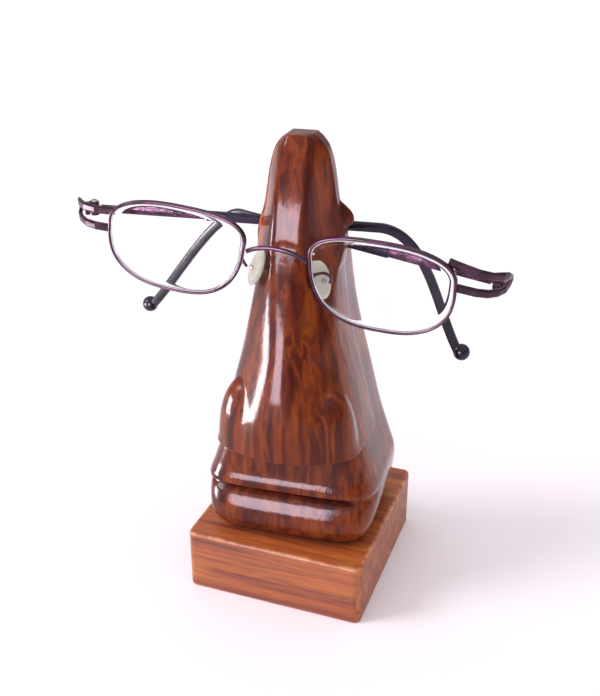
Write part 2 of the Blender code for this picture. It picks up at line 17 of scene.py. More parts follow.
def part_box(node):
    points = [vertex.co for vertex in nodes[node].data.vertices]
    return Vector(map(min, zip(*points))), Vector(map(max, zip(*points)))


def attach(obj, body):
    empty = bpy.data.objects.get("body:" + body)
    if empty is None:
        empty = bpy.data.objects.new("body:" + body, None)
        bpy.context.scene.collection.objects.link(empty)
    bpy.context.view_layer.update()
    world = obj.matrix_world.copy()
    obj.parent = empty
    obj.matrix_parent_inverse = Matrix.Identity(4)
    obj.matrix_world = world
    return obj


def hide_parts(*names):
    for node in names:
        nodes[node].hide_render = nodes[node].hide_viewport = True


MM = 0.001
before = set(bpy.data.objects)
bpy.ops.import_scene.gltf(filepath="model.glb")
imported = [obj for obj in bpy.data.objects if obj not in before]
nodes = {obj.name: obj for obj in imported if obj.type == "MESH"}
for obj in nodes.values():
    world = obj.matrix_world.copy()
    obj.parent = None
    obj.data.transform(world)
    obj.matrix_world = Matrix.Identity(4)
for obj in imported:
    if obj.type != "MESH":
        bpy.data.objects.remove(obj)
bpy.context.view_layer.update()

# %% [markdown]
# ## Two helpers for materials
#
# Colours are picked as sRGB hex values, because that is how one reads them off a screen,
# and Blender's shaders want linear light.  One function turns the one into the other, and
# one adds a shader node with its settings and its links.


# %% Helpers for materials
def colour(code):
    channels = [int(code[i:i + 2], 16) / 255 for i in (1, 3, 5)]
    linear = [c / 12.92 if c <= 0.04045 else ((c + 0.055) / 1.055) ** 2.4 for c in channels]
    return (*linear, 1.0)


def node(tree, kind, inputs=None, stops=None, **settings):
    """Add a node: settings are its properties, inputs are values or sockets, stops fill a ramp."""
    made = tree.nodes.new(kind)
    for name, value in settings.items():
        setattr(made, name, value)
    for key, value in (inputs or {}).items():
        if isinstance(value, bpy.types.NodeSocket):
            tree.links.new(value, made.inputs[key])
        else:
            made.inputs[key].default_value = value
    for i, (place, code) in enumerate(stops or []):
        ramp = made.color_ramp.elements
        element = ramp[i] if i < len(ramp) and i < 2 else ramp.new(place)
        element.position = place
        element.color = colour(code)
    return made


def material(name, **sockets):
    """A Principled material; a socket's name is written with _ for each space."""
    made = bpy.data.materials.new(name)
    made.use_nodes = True
    shader = made.node_tree.nodes["Principled BSDF"]
    for key, value in sockets.items():
        shader.inputs[key.replace("_", " ")].default_value = value
    return made, made.node_tree, shader


# %% [markdown]
# ## The nose, carved again with a finer gouge
#
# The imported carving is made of 60 columns, enough to hold its shape but too coarse for a
# lacquered surface, where every flat shows in the reflections.  Here the same rule is
# followed with many more columns and rows.  Each height has its own outline: the union of
# a lower block (lips and cheeks), a brow, the wedge of the ridge and two swellings for the
# nose wings.  Every outline is the distance from the middle of the section to a polygon
# whose corners are rounded by a power mean, so one number says how crisp a carved edge is.

# %% Carving stations
CENTRE_Y = -4.0
YAW = math.radians(4.7)
BOTTOM, TOP = 23.0, 160.4
BLOCK_HALF = ((22, 26.6), (27, 28.6), (34, 30.2), (42, 30.4), (48, 28.6), (60, 24.8), (75, 21.2),
              (90, 17.5), (100, 15.3), (110, 13.8), (117, 13.0), (119.8, 12.2), (121.7, 9.0), (122.3, 4.0))
BLOCK_FRONT = ((22, 22.0), (25, 25.2), (29.5, 28.0), (34, 27.2), (38, 25.0), (40.6, 22.8), (43.2, 26.8),
               (48, 25.6), (60, 23.5), (75, 20.0), (90, 17.0), (110, 13.0), (122.3, 9.0))
BLOCK_BACK = ((22, 19.6), (30, 20.6), (45, 20.4), (75, 18.4), (117, 16.2), (119.8, 14.8), (121.7, 9.0),
              (122.3, 3.0))
BROW_HALF = ((105, 12.0), (119, 13.6), (128, 14.5), (138, 12.0), (150, 10.0), (156, 8.2),
             (159, 6.0), (160.4, 4.2))
BROW_BACK = ((105, 3.0), (122, 1.4), (128, 0.2), (138, -0.2), (150, -1.6), (157, -3.0), (160.4, -4.5))
RIDGE_FRONT = ((60, 35.8), (70, 36.4), (80, 35.0), (90, 32.4), (100, 29.0), (110, 24.6), (119, 20.6),
               (128, 17.6), (138, 15.6), (150, 12.6), (157, 10.4), (160.4, 8.2))
RIDGE_HALF = ((60, 9.0), (70, 8.0), (80, 5.5), (90, 4.0), (100, 3.4), (119, 4.4), (128, 5.4),
              (150, 4.8), (160.4, 3.4))
RIDGE_MEETS = ((60, 26.0), (75, 22.0), (90, 19.0), (100, 18.0), (110, 14.5), (119, 9.5),
               (128, 3.6), (150, 4.6), (160.4, 5.5))
RIDGE_LEAN = ((95, 0.0), (119, -1.5), (138, -1.0), (160.4, -0.3))
WING_X, WING_Y, WING_ACROSS, WING_DEEP = 14.0, -22.5, 9.0, 8.5
WING_MIDDLE, WING_UP, WING_DOWN = 66.0, 17.0, 14.0
UNDERSIDE = 59.6
SHOULDER = ((130.4, 0.0), (131.4, 2.0), (133, 3.0), (135, 2.9), (137, 1.6), (138.8, 0.0))
SHOULDER_ANGLE, SHOULDER_SPREAD = math.radians(15), math.radians(7)
MOUTH_HEIGHT, MOUTH_HALF, MOUTH_DEPTH, MOUTH_CORNER = 41.4, 1.5, 2.4, 0.60


def at_height(stations, z):
    """Read a value at height z from (height, value) stations along a smooth curve."""
    if z <= stations[0][0]:
        return stations[0][1]
    for i in range(len(stations) - 1):
        (z0, v0), (z1, v1) = stations[i], stations[i + 1]
        if z <= z1:
            zb, vb = stations[max(i - 1, 0)]
            za, va = stations[min(i + 2, len(stations) - 1)]
            m0 = (v1 - vb) / (z1 - zb) * (z1 - z0)
            m1 = (va - v0) / (za - z0) * (z1 - z0)
            t = (z - z0) / (z1 - z0)
            return ((2 * t ** 3 - 3 * t ** 2 + 1) * v0 + (t ** 3 - 2 * t ** 2 + t) * m0
                    + (-2 * t ** 3 + 3 * t ** 2) * v1 + (t ** 3 - t ** 2) * m1)
    return stations[-1][1]


# %% Outlines
def polygon(walls, dx, dy, crispness):
    """Distance along each direction to a rounded polygon of (normal x, normal y, distance) walls."""
    total = np.zeros_like(dx)
    for nx, ny, distance in walls:
        total += np.maximum((nx * dx + ny * dy) / max(distance, 0.2), 0.0) ** crispness
    return total ** (-1 / crispness)


def block(dx, dy, z):
    half = at_height(BLOCK_HALF, z)
    front = at_height(BLOCK_FRONT, z) + CENTRE_Y
    back = at_height(BLOCK_BACK, z) - CENTRE_Y
    slant = math.sqrt(0.5)
    corner = (half + front) * slant - 3.0
    walls = [(1, 0, half), (-1, 0, half), (0, -1, front), (0, 1, back),
             (slant, -slant, corner), (-slant, -slant, corner)]
    return polygon(walls, dx, dy, 12)


def brow(dx, dy, z):
    half = at_height(BROW_HALF, z)
    front = max(at_height(RIDGE_MEETS, z) + CENTRE_Y, 1.0)
    back = at_height(BROW_BACK, z) - CENTRE_Y
    return polygon([(1, 0, half), (-1, 0, half), (0, 1, back), (0, -1, front)], dx, dy, 10)


def ridge(dx, dy, z):
    if z < UNDERSIDE:
        return np.zeros_like(dx)
    front, flat = at_height(RIDGE_FRONT, z), at_height(RIDGE_HALF, z)
    half = at_height(BLOCK_HALF, z) if z < BROW_HALF[1][0] else at_height(BROW_HALF, z)
    run, fall = half - flat, front - at_height(RIDGE_MEETS, z)
    length = math.hypot(run, fall)
    nx, ny = fall / length, -run / length
    lean = at_height(RIDGE_LEAN, z)
    right = (flat + lean) * nx - (front + CENTRE_Y) * ny
    left = (flat - lean) * nx - (front + CENTRE_Y) * ny
    walls = [(0, -1, front + CENTRE_Y), (nx, ny, right), (-nx, ny, left), (1, 0, half), (-1, 0, half),
             (0, 1, 1.0 - CENTRE_Y)]
    return polygon(walls, dx, dy, 14)


def wing(dx, dy, z, side):
    rise = (z - WING_MIDDLE) / (WING_UP if z > WING_MIDDLE else WING_DOWN)
    if z < UNDERSIDE - 1.0 or abs(rise) >= 1:
        return np.zeros_like(dx)
    swell = math.sqrt(1 - rise * rise)
    a, b = WING_ACROSS * swell, WING_DEEP * swell
    cx, cy = side * WING_X, WING_Y - CENTRE_Y
    qa = (dx / a) ** 2 + (dy / b) ** 2
    qb = -2 * (dx * cx / a ** 2 + dy * cy / b ** 2)
    qc = (cx / a) ** 2 + (cy / b) ** 2 - 1
    disc = qb * qb - 4 * qa * qc
    return np.where(disc > 0, np.maximum((-qb + np.sqrt(np.maximum(disc, 0))) / (2 * qa), 0), 0.0)


def carving_outline(angle, z):
    """Radius of the carving at each angle about the middle of its section, in millimetres."""
    dx, dy = np.cos(angle), np.sin(angle)
    shapes = [wing(dx, dy, z, 1), wing(dx, dy, z, -1), ridge(dx, dy, z)]
    if z < BLOCK_HALF[-1][0]:
        shapes.append(block(dx, dy, z))
    if z > BROW_HALF[0][0]:
        shapes.append(brow(dx, dy, z))
    together = 26
    radius = sum(shape ** together for shape in shapes) ** (1 / together)
    groove = max(0.0, 1 - abs(z - MOUTH_HEIGHT) / MOUTH_HALF)
    facing = np.clip((-dy - MOUTH_CORNER) * 8, 0.0, 1.0)
    radius -= MOUTH_DEPTH * min(1.0, 2 * groove) * facing
    off = np.remainder(angle - SHOULDER_ANGLE + math.pi, 2 * math.pi) - math.pi
    return radius + max(0.0, at_height(SHOULDER, z)) * np.exp(-(off / SHOULDER_SPREAD) ** 4)


# %% Build the carving
def smooth_object(name, mesh, made, body, slot, *cad):
    """Finish a mesh as a named piece that rides on a body and stands for the CAD nodes given."""
    mesh.shade_smooth()
    mesh.materials.clear()
    mesh.materials.append(made)
    obj = bpy.data.objects.new(name, mesh)
    bpy.context.scene.collection.objects.link(obj)
    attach(obj, body)
    if cad:
        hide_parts(*cad)
    return obj


def skin(rings):
    """A closed tube through rings of points, capped at both ends."""
    rows, columns = len(rings), len(rings[0])
    points = np.concatenate(rings)
    faces = []
    for i in range(rows - 1):
        for j in range(columns):
            k = (j + 1) % columns
            a, b = i * columns, (i + 1) * columns
            faces.append((a + j, a + k, b + k, b + j))
    faces.append(tuple(range(columns))[::-1])
    faces.append(tuple(range((rows - 1) * columns, rows * columns)))
    mesh = bpy.data.meshes.new("skin")
    mesh.from_pydata(points.tolist(), [], faces)
    return mesh


def carving_heights():
    fine = [(BOTTOM, 1.2), (38.5, 0.3), (44.5, 1.0), (57.5, 0.25), (61.0, 1.0), (118.0, 0.4),
            (124.0, 0.7), (156.0, 0.4), (TOP, 0)]
    heights = []
    for (low, step), (high, _) in zip(fine, fine[1:]):
        heights += list(np.arange(low, high - step * 0.4, step))
    return heights + [TOP]


COLUMNS = 300
angles = np.arange(COLUMNS) * 2 * math.pi / COLUMNS
turn = np.array([[math.cos(YAW), math.sin(YAW)], [-math.sin(YAW), math.cos(YAW)]])
rings = []
for z in carving_heights():
    radius = carving_outline(angles, z)
    flat = np.stack([radius * np.cos(angles), radius * np.sin(angles) + CENTRE_Y], axis=1) @ turn
    rings.append(np.column_stack([flat, np.full(COLUMNS, z)]) * MM)
carving_mesh = skin(rings)
print("carving:", len(rings), "rows,", len(carving_mesh.polygons), "faces")

# %% [markdown]
# ## Lacquered rosewood
#
# Sheesham is a red-brown wood with dark, wandering growth layers that run up the carving,
# small orange flames between them and short open pores.  A clear lacquer over it gives the
# hard white reflections.  The layers are noise stretched twenty times along Z: about 5 mm
# across and 100 mm long.  The fibres are the same idea at 0.7 mm.  The lacquer is the
# shader's coat, so its gloss stays smooth while the wood beneath keeps its own.  Both
# reflect little head on, which keeps a red wood red in a white room.


# %% Rosewood
GRAIN_TILT = 0.07  # the grain leans a few degrees off the block's own axis


def wood(name, along, palette, streak, flame, sockets, layer_mm, bump_mm):
    """Wood whose grain runs along one axis, as layers, streaks, flames, fibres and pores.

    The layers give the eye the board's figure, the streaks its dark late wood and the
    flames its orange patches; fibres and pores are what it sees close to.
    """
    made, tree, shader = material(name, **sockets)
    place = node(tree, "ShaderNodeTexCoord").outputs["Object"]

    def stretched(across_mm, along_mm, detail=3.0, distortion=0.0, shift=0.0):
        scale = [1 / (along_mm * MM) if axis == along else 1 / (across_mm * MM) for axis in range(3)]
        tilt = [0.0, 0.0, 0.0]
        tilt[(along + 1) % 3] = GRAIN_TILT
        moved = node(tree, "ShaderNodeMapping", {"Vector": place, "Location": (shift,) * 3,
                                                 "Rotation": tilt, "Scale": scale})
        return node(tree, "ShaderNodeTexNoise", {"Vector": moved.outputs[0], "Scale": 1.0, "Detail": detail,
                                                 "Distortion": distortion}).outputs["Fac"]

    layers = node(tree, "ShaderNodeValToRGB", {"Fac": stretched(layer_mm, layer_mm * 20, 3.0, 0.5)},
                  stops=palette)
    late_wood = stretched(layer_mm * 0.5, layer_mm * 18, 2.0, 0.3, 3.1)
    streaks = node(tree, "ShaderNodeMapRange", {"Value": late_wood, "From Min": 0.54, "From Max": 0.70,
                                                "To Max": 0.6})
    dark = node(tree, "ShaderNodeMix", {0: streaks.outputs[0], 6: layers.outputs[0], 7: colour(streak)},
                data_type="RGBA")
    patches = stretched(layer_mm * 1.5, layer_mm * 8, 2.0, 0.6, 7.7)
    flames = node(tree, "ShaderNodeMapRange", {"Value": patches, "From Min": 0.56, "From Max": 0.74,
                                               "To Max": 0.6})
    warm = node(tree, "ShaderNodeMix", {0: flames.outputs[0], 6: dark.outputs[2], 7: colour(flame)},
                data_type="RGBA")
    fibres = stretched(0.7, 14.0, 3.0, 0.2, 1.7)
    shade = node(tree, "ShaderNodeMapRange", {"Value": fibres, "From Min": 0.3, "From Max": 0.7,
                                              "To Min": 0.82, "To Max": 1.15})
    grained = node(tree, "ShaderNodeVectorMath", {0: warm.outputs[2], "Scale": shade.outputs[0]},
                   operation="SCALE")
    pores = node(tree, "ShaderNodeMapRange", {"Value": stretched(0.5, 5.5, 1.0, 0.0, 9.2),
                                              "From Min": 0.64, "From Max": 0.74, "To Max": 0.35})
    pored = node(tree, "ShaderNodeMix", {0: pores.outputs[0], 6: grained.outputs[0], 7: colour(streak)},
                 data_type="RGBA")
    height = node(tree, "ShaderNodeMath", {0: stretched(2.4, 9.0, 2.0, 0.5, 5.5), 1: fibres},
                  operation="MULTIPLY")
    bump = node(tree, "ShaderNodeBump", {"Strength": 1.0, "Distance": bump_mm * MM,
                                         "Height": height.outputs[0]})
    tree.links.new(bump.outputs[0], shader.inputs["Normal"])
    return made, tree, shader, pored.outputs[2], bump


# Dark red-brown under a clear gloss: the eye reads it as polished carving
rosewood, tree, shader, wood_colour, wood_bump = wood(
    "lacquered sheesham rosewood", 2,
    [(0.32, "#461307"), (0.44, "#5e1f09"), (0.52, "#742c0c"), (0.60, "#883a10"), (0.70, "#561b08")],
    "#300d06", "#a85214",
    {"Roughness": 0.45, "Specular_IOR_Level": 0.06, "Coat_Weight": 1.0, "Coat_Roughness": 0.10,
     "Coat_IOR": 1.27}, 5.0, 0.08)
tree.links.new(wood_colour, shader.inputs["Base Color"])
tree.links.new(wood_bump.outputs[0], shader.inputs["Coat Normal"])

carving = smooth_object("carved_nose", carving_mesh, rosewood, "stand", "rosewood", "nose_carving")
print(rosewood.name, "with", len(tree.nodes), "nodes")

# %% [markdown]
# ## The base, in oiled wood
#
# The base is a sawn block of the same wood, stained lighter and only oiled, so its grain
# lies across the front and it shines much less.  Its arrises have been rubbed pale by
# hands.  The worn edge is worked out from the place alone: a point is on an edge when two
# of its distances to the faces are small at once.

# %% Base
EDGE_OUTER, EDGE_INNER = 0.15 * MM, 1.5 * MM  # how near a face the wear is full, and where it starts

# Lighter, more orange and nearly matt: plain sawn wood beside the polished carving
hardwood, tree, shader, wood_colour, _ = wood(
    "oiled rosewood", 0,
    [(0.28, "#762e12"), (0.42, "#954319"), (0.52, "#a8521e"), (0.63, "#b86224"), (0.75, "#96461b")],
    "#541e0f", "#cc8034",
    {"Roughness": 0.5, "Coat_Weight": 0.25, "Coat_Roughness": 0.3}, 3.4, 0.16)
base_low, base_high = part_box("base_block")
place = node(tree, "ShaderNodeTexCoord").outputs["Object"]
where = node(tree, "ShaderNodeSeparateXYZ", {0: place})
near = []
for axis, half in ((0, base_high.x), (1, base_high.y), (2, base_high.z)):
    size = node(tree, "ShaderNodeMath", {0: where.outputs[axis]}, operation="ABSOLUTE")
    near.append(node(tree, "ShaderNodeMapRange", {"Value": size.outputs[0], "From Min": half - EDGE_INNER,
                                                  "From Max": half - EDGE_OUTER}).outputs[0])
pairs = [node(tree, "ShaderNodeMath", {0: near[a], 1: near[b]}, operation="MULTIPLY").outputs[0]
         for a, b in ((0, 1), (1, 2), (0, 2))]
edge = node(tree, "ShaderNodeMath", {0: pairs[0], 1: pairs[1]}, operation="MAXIMUM")
edge = node(tree, "ShaderNodeMath", {0: edge.outputs[0], 1: pairs[2]}, operation="MAXIMUM")
patchy = node(tree, "ShaderNodeTexNoise", {"Vector": place, "Scale": 260.0, "Detail": 3.0})
rubbed = node(tree, "ShaderNodeMapRange", {"Value": patchy.outputs["Fac"], "From Min": 0.4, "From Max": 0.62,
                                           "To Max": 0.75})
wear = node(tree, "ShaderNodeMath", {0: edge.outputs[0], 1: rubbed.outputs[0]}, operation="MULTIPLY")
worn = node(tree, "ShaderNodeMix", {0: wear.outputs[0], 6: wood_colour, 7: colour("#dda06a")},
            data_type="RGBA")
tree.links.new(worn.outputs[2], shader.inputs["Base Color"])


def dress(made, *names):
    """Give CAD nodes that keep their shape a finished material."""
    for name in names:
        nodes[name].data.materials.clear()
        nodes[name].data.materials.append(made)


dress(hardwood, "base_block")
print("base", [round((high - low) * 1000, 1) for low, high in zip(base_low, base_high)], "mm")

# %% [markdown]
# ## Metals, plastics and glass of the spectacles
#
# The wire is nickel alloy under a thin plum enamel, so it is metallic, dark where it
# reflects nothing and pink where it catches light.  The temple ends wear black acetate
# sleeves with a blue-violet gloss, and the nose pads are clear silicone.


# %% Spectacle materials
def mottled(name, light, dark, size_mm, rough, **sockets):
    """A finish whose colour and gloss vary a little over the surface."""
    made, tree, shader = material(name, **sockets)
    place = node(tree, "ShaderNodeTexCoord").outputs["Object"]
    cloud = node(tree, "ShaderNodeTexNoise", {"Vector": place, "Scale": 1 / (size_mm * MM), "Detail": 3.0})
    tone = node(tree, "ShaderNodeValToRGB", {"Fac": cloud.outputs["Fac"]},
                stops=[(0.36, dark), (0.64, light)])
    gloss = node(tree, "ShaderNodeMapRange", {"Value": cloud.outputs["Fac"], "From Min": 0.3, "From Max": 0.7,
                                              "To Min": rough * 0.8, "To Max": rough * 1.25})
    tree.links.new(tone.outputs[0], shader.inputs["Base Color"])
    tree.links.new(gloss.outputs[0], shader.inputs["Roughness"])
    return made


# Dark where it reflects nothing, plum where it catches light
plum_wire = mottled("plum enamel on nickel alloy", "#4a1c3c", "#28101f", 4.0, 0.26, Metallic=0.6,
                    Coat_Weight=0.3, Coat_Roughness=0.1)
# A warm grey glint at each small screw
nickel = mottled("nickel silver", "#c9c0b4", "#a79d92", 1.5, 0.24, Metallic=1.0)
# Cooler and duller, under the base
zinc = mottled("zinc plated steel", "#b9bbb6", "#8f928f", 2.0, 0.34, Metallic=1.0)
# Nearly black, with the faint violet of dyed plastic
acetate = mottled("black acetate", "#1d1030", "#0f081a", 6.0, 0.3, Specular_IOR_Level=0.25,
                  Coat_Weight=0.25, Coat_Roughness=0.12)
# Milky and slightly green, so light goes in but no shape comes out
silicone = mottled("clear silicone", "#eef0e2", "#dcdfca", 3.0, 0.22, Transmission_Weight=0.45, IOR=1.41,
                   Subsurface_Weight=0.2, Subsurface_Scale=0.002)
# Almost invisible: a coated lens reflects little, and only its rounded edge bends what is behind
lens_glass, lens_tree, lens_shader = material("coated lens plastic", Roughness=0.0, IOR=1.14,
                                              Transmission_Weight=1.0)
place = node(lens_tree, "ShaderNodeTexCoord").outputs["Object"]
haze = node(lens_tree, "ShaderNodeTexNoise", {"Vector": place, "Scale": 40.0, "Detail": 1.0})
tint = node(lens_tree, "ShaderNodeValToRGB", {"Fac": haze.outputs["Fac"]},
            stops=[(0.3, "#faf8ff"), (0.7, "#ffffff")])
lens_tree.links.new(tint.outputs[0], lens_shader.inputs["Base Color"])
# The bright white line round the inside of each rim: the frosted lens edge, painted near white as a painted
# highlight
edge_frost_and_highlight = mottled("frosted lens edge with painted highlight", "#ffffff", "#f2e9f4", 2.0, 0.3, Transmission_Weight=0.15, IOR=1.5)
print("spectacle finishes ready")

# %% [markdown]
# ## Wire parts drawn along a path
#
# Rims, bridge and temple sleeves are all wire or strip bent along a line, so one
# Geometry Nodes tree makes them: a rounded rectangle swept along a curve.  Width, height
# and corner are named inputs.  A curve's Z-up normal keeps the strip from twisting, and
# the rim paths are drawn flat for that reason and stood up afterwards.


# %% The wire tree
def wire_tree():
    tree = bpy.data.node_groups.new("strip along a path", "GeometryNodeTree")
    tree.interface.new_socket("Geometry", in_out="INPUT", socket_type="NodeSocketGeometry")
    for name in ("Width", "Height", "Corner"):
        tree.interface.new_socket(name, in_out="INPUT", socket_type="NodeSocketFloat")
    tree.interface.new_socket("Material", in_out="INPUT", socket_type="NodeSocketMaterial")
    tree.interface.new_socket("Geometry", in_out="OUTPUT", socket_type="NodeSocketGeometry")
    given = node(tree, "NodeGroupInput").outputs
    outline = node(tree, "GeometryNodeCurvePrimitiveQuadrilateral", {"Width": given["Width"],
                                                                    "Height": given["Height"]})
    rounded = node(tree, "GeometryNodeFilletCurve", {"Curve": outline.outputs[0], "Count": 5,
                                                     "Radius": given["Corner"]}, mode="POLY")
    upright = node(tree, "GeometryNodeSetCurveNormal", {"Curve": given["Geometry"]}, mode="Z_UP")
    swept = node(tree, "GeometryNodeCurveToMesh", {"Curve": upright.outputs[0], "Fill Caps": True,
                                                   "Profile Curve": rounded.outputs[0]})
    real = node(tree, "GeometryNodeRealizeInstances", {0: swept.outputs[0]})
    finished = node(tree, "GeometryNodeSetMaterial", {"Geometry": real.outputs[0],
                                                      "Material": given["Material"]})
    node(tree, "NodeGroupOutput", {0: finished.outputs[0]})
    return tree


WIRE = wire_tree()
SOCKETS = {item.name: item.identifier for item in WIRE.interface.items_tree if item.in_out == "INPUT"}


def wire_mesh(points, width, height, corner, made, closed=False):
    """Sweep a rounded strip along points and return it as a plain mesh, in the points' own space."""
    line = bpy.data.curves.new("path", "CURVE")
    line.dimensions = "3D"
    spline = line.splines.new("POLY")
    spline.points.add(len(points) - 1)
    spline.points.foreach_set("co", [c for p in points for c in (*p, 1.0)])
    spline.use_cyclic_u = closed
    guide = bpy.data.objects.new("path", line)
    bpy.context.scene.collection.objects.link(guide)
    modifier = guide.modifiers.new("strip", "NODES")
    modifier.node_group = WIRE
    for name, value in (("Width", width), ("Height", height), ("Corner", corner), ("Material", made)):
        modifier[SOCKETS[name]] = value
    evaluated = guide.evaluated_get(bpy.context.evaluated_depsgraph_get())
    mesh = bpy.data.meshes.new_from_object(evaluated)
    bpy.data.objects.remove(guide)
    work = bmesh.new()
    work.from_mesh(mesh)
    bmesh.ops.remove_doubles(work, verts=work.verts, dist=1e-6)
    bmesh.ops.recalc_face_normals(work, faces=work.faces)
    work.to_mesh(mesh)
    work.free()
    return mesh


trial = wire_mesh([Vector((0, 0, 0)), Vector((0.05, 0, 0))], 0.002, 0.004, 0.0005, plum_wire)
size = np.ptp(np.array([v.co for v in trial.vertices]), axis=0) * 1000
print("a strip 2 wide and 4 high along X measures", size.round(2), "mm")

# %% [markdown]
# ## Rims and lenses
#
# Each rim is a strip 0.85 mm wide and 1.7 mm deep bent round the lens, and the lens is a
# slightly domed disc whose ground edge, frosted and painted near white as a painted highlight,
# shows as a bright white line just inside the rim.
# The spectacles lean on the nose, so everything on them is drawn in their own space, where
# the lenses stand upright, and then set down with one matrix.

# %% The spectacles' own space
FRONT_PLACE = Vector((-0.5, -24.85, 123.8)) * MM
LEAN = Euler([math.radians(a) for a in (6.15, 5.44, 4.72)])
SEAT = Matrix.Translation(FRONT_PLACE) @ LEAN.to_matrix().to_4x4()
UPRIGHT = Matrix(((1, 0, 0, 0), (0, 0, -1, 0), (0, 1, 0, 0), (0, 0, 0, 1)))
LENS_MIDDLE = 32.8
# The rim's middle line: half width, height above and below, squareness, and how it leans
LENS_HALF, LENS_ABOVE, LENS_BELOW, LENS_SQUARE = 22.05, 9.7, 19.6, 2.57
LENS_MIDDLE_Z, LENS_SHEAR, LENS_DRIFT, LENS_TILT = 4.35, 3.6, 1.15, 1.4


def lens_outline(grow, count=144):
    """The rim's middle line moved out by grow, as (outward, up) millimetres from the eye's middle.

    It is a soft oval, flat above and deep below, that leans in towards the nose at the top.
    """
    middle = []
    for i in range(count):
        angle = 2 * math.pi * i / count
        c, s = math.cos(angle), math.sin(angle)
        high = LENS_ABOVE if s > 0 else LENS_BELOW
        x = LENS_HALF * math.copysign(abs(c) ** (2 / LENS_SQUARE), c) - LENS_SHEAR * s - LENS_DRIFT * s * s
        z = high * math.copysign(abs(s) ** (2 / LENS_SQUARE), s) + LENS_MIDDLE_Z + LENS_TILT * c
        middle.append((x, z))
    points = []
    for i, (x, z) in enumerate(middle):
        (xa, za), (xb, zb) = middle[i - 1], middle[(i + 1) % count]
        length = math.hypot(xb - xa, zb - za)
        points.append((x + grow * (zb - za) / length, z - grow * (xb - xa) / length))
    return points


def placed(mesh, matrix):
    mesh.transform(matrix)
    if matrix.determinant() < 0:
        mesh.flip_normals()
    return mesh


# %% Rims
for side, name in ((-1, "left"), (1, "right")):
    path = [Vector((side * (LENS_MIDDLE + x), z, 0)) * MM for x, z in lens_outline(0.0)]
    rim = wire_mesh(path, 0.85 * MM, 1.7 * MM, 0.36 * MM, plum_wire, closed=True)
    smooth_object(f"{name}_rim_wire", placed(rim, SEAT @ UPRIGHT), plum_wire, "spectacles", "plum_wire",
                  f"{name}_rim")
    print(name, "rim", len(rim.polygons), "faces")


# %% Lenses
DOME, DOME_ACROSS, DOME_UP = 0.9, 22.0, 15.0
LENS_HALF_THICK = 0.65


def lens_meshes(side):
    """The clear lens and the ground edge round it, as two closed meshes."""
    def dome(x, z):
        return -DOME * (1 - min(1.0, (x / DOME_ACROSS) ** 2 + (z / DOME_UP) ** 2))

    front, back = [], []
    for fraction in (0.02, 0.35, 0.6, 0.8, 0.92, 1.0):
        outline = [(x * fraction, z * fraction) for x, z in lens_outline(-0.76)]
        front.append([(side * (LENS_MIDDLE + x), dome(x, z) - LENS_HALF_THICK, z) for x, z in outline])
        back.append([(side * (LENS_MIDDLE + x), dome(x, z) + LENS_HALF_THICK, z) for x, z in outline])
    clear = skin([np.array(ring) * MM for ring in front + back[::-1]])
    edge_rings = []
    for grow, y in ((-0.74, -0.66), (-0.52, -0.60), (-0.47, 0.0), (-0.52, 0.60), (-0.74, 0.66)):
        edge_rings.append([(side * (LENS_MIDDLE + x), y, z) for x, z in lens_outline(grow)])
    edge = skin([np.array(ring) * MM for ring in edge_rings])
    work = bmesh.new()
    work.from_mesh(edge)
    caps = [face for face in work.faces if len(face.verts) > 4]
    bmesh.ops.delete(work, geom=caps, context="FACES_ONLY")
    loops = [e for e in work.edges if e.is_boundary]
    bmesh.ops.bridge_loops(work, edges=loops)
    bmesh.ops.recalc_face_normals(work, faces=work.faces)
    work.to_mesh(edge)
    work.free()
    work = bmesh.new()
    work.from_mesh(clear)
    bmesh.ops.recalc_face_normals(work, faces=work.faces)
    work.to_mesh(clear)
    work.free()
    return clear, edge


for side, name in ((-1, "left"), (1, "right")):
    clear, edge = lens_meshes(side)
    smooth_object(f"{name}_lens_blank", placed(clear, SEAT), lens_glass, "spectacles", "lens", f"{name}_lens")
    smooth_object(f"{name}_lens_edge", placed(edge, SEAT), edge_frost_and_highlight, "spectacles", "lens")
    print(name, "lens", len(clear.polygons), "+", len(edge.polygons), "faces")

# %% [markdown]
# ## Bridge and temples
#
# The lugs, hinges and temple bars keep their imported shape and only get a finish.  The
# bridge and the two black sleeves are drawn again, smoothly.  The temples turn on the
# hinge screws, so each sleeve gets a matrix of its own: the hinge's place in the
# spectacles, then the fold, then the small dip that lets one temple pass under the other.

# %% Bridge
def bezier(a, b, c, d, count):
    steps = [i / count for i in range(count + 1)]
    return [a * (1 - t) ** 3 + b * 3 * (1 - t) ** 2 * t + c * 3 * (1 - t) * t * t + d * t ** 3 for t in steps]


left_end, right_end = (Vector((x, 0.0, 3.2)) * MM for x in (-9.55, 9.55))
arch = bezier(left_end, left_end + Vector((5.0, -0.4, 3.6)) * MM,
              right_end + Vector((-5.0, -0.4, 3.6)) * MM, right_end, 40)
bridge = wire_mesh(arch, 1.3 * MM, 1.4 * MM, 0.55 * MM, plum_wire)
smooth_object("bridge_wire", placed(bridge, SEAT), plum_wire, "spectacles", "plum_wire", "bridge")

# Side, fold and dip in degrees, then the ear bend: start, tip along, tip up, and its two handles
HINGES = {"left": (-1, 15.6, 0.7, 94.1, 128.4, -46.3, 17.2, -10.1, 16.0),
          "right": (1, 180 - 17.2, 3.9, 96.3, 140.6, -48.6, 10.8, -9.8, 10.0)}


HINGE_OUT, HINGE_BACK, HINGE_UP = 66.6, 12.4, 2.0
HINGE_CLEAR, SLEEVE_FROM = 2.4, 3 / 8  # where an arm starts, and how far along it the sleeve does


def temple_space(name):
    side, fold, dip = HINGES[name][:3]
    pivot = Matrix.Translation(Vector((side * HINGE_OUT, HINGE_BACK, HINGE_UP)) * MM)
    return SEAT @ pivot @ Euler((0, math.radians(dip), math.radians(fold))).to_matrix().to_4x4()


